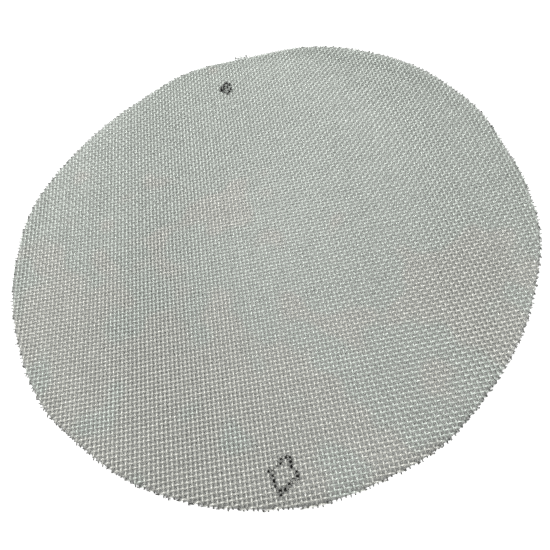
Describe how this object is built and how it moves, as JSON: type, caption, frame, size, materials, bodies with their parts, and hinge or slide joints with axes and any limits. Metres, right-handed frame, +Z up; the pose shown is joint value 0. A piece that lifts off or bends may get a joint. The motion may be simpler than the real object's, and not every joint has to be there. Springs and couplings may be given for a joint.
{
  "type": "burner screen",
  "caption": "Round burner screen: a hand-cut disc of plain-woven stainless steel wire cloth with square openings and a shallow curl.",
  "frame": {"origin": "middle of the disc, at the level of its lowest wire", "axes": "+Z up, out of the hollow side of the curl; +Y along the warp wires, which are also the axis of the curl; +X along the weft wires"},
  "size_m": [0.2014, 0.2006, 0.0034],
  "materials": {
    "wire_steel": "satin"
  },
  "bodies": {
    "root": {"warp_wires_001_to_005": "wire_steel", "warp_wires_006_to_010": "wire_steel", "warp_wires_011_to_015": "wire_steel", "warp_wires_016_to_020": "wire_steel", "warp_wires_021_to_025": "wire_steel", "warp_wires_026_to_030": "wire_steel", "warp_wires_031_to_035": "wire_steel", "warp_wires_036_to_040": "wire_steel", "warp_wires_041_to_045": "wire_steel", "warp_wires_046_to_050": "wire_steel", "warp_wires_051_to_055": "wire_steel", "warp_wires_056_to_060": "wire_steel", "warp_wires_061_to_065": "wire_steel", "warp_wires_066_to_070": "wire_steel", "warp_wires_071_to_075": "wire_steel", "warp_wires_076_to_080": "wire_steel", "warp_wires_081_to_085": "wire_steel", "warp_wires_086_to_090": "wire_steel", "warp_wires_091_to_095": "wire_steel", "warp_wires_096_to_100": "wire_steel", "warp_wires_101_to_105": "wire_steel", "warp_wires_106_to_110": "wire_steel", "warp_wires_111_to_115": "wire_steel", "warp_wires_116_to_120": "wire_steel", "warp_wires_121_to_125": "wire_steel", "warp_wires_126_to_130": "wire_steel", "warp_wires_131_to_135": "wire_steel", "warp_wires_136_to_139": "wire_steel", "weft_wires_001_to_005": "wire_steel", "weft_wires_006_to_010": "wire_steel", "weft_wires_011_to_015": "wire_steel", "weft_wires_016_to_020": "wire_steel", "weft_wires_021_to_025": "wire_steel", "weft_wires_026_to_030": "wire_steel", "weft_wires_031_to_035": "wire_steel", "weft_wires_036_to_040": "wire_steel", "weft_wires_041_to_045": "wire_steel", "weft_wires_046_to_050": "wire_steel", "weft_wires_051_to_055": "wire_steel", "weft_wires_056_to_060": "wire_steel", "weft_wires_061_to_065": "wire_steel", "weft_wires_066_to_070": "wire_steel", "weft_wires_071_to_075": "wire_steel", "weft_wires_076_to_080": "wire_steel", "weft_wires_081_to_085": "wire_steel", "weft_wires_086_to_090": "wire_steel", "weft_wires_091_to_095": "wire_steel", "weft_wires_096_to_100": "wire_steel", "weft_wires_101_to_105": "wire_steel", "weft_wires_106_to_110": "wire_steel", "weft_wires_111_to_115": "wire_steel", "weft_wires_116_to_120": "wire_steel", "weft_wires_121_to_125": "wire_steel", "weft_wires_126_to_130": "wire_steel", "weft_wires_131_to_135": "wire_steel", "weft_wires_136_to_139": "wire_steel"}
  },
  "joints": []
}
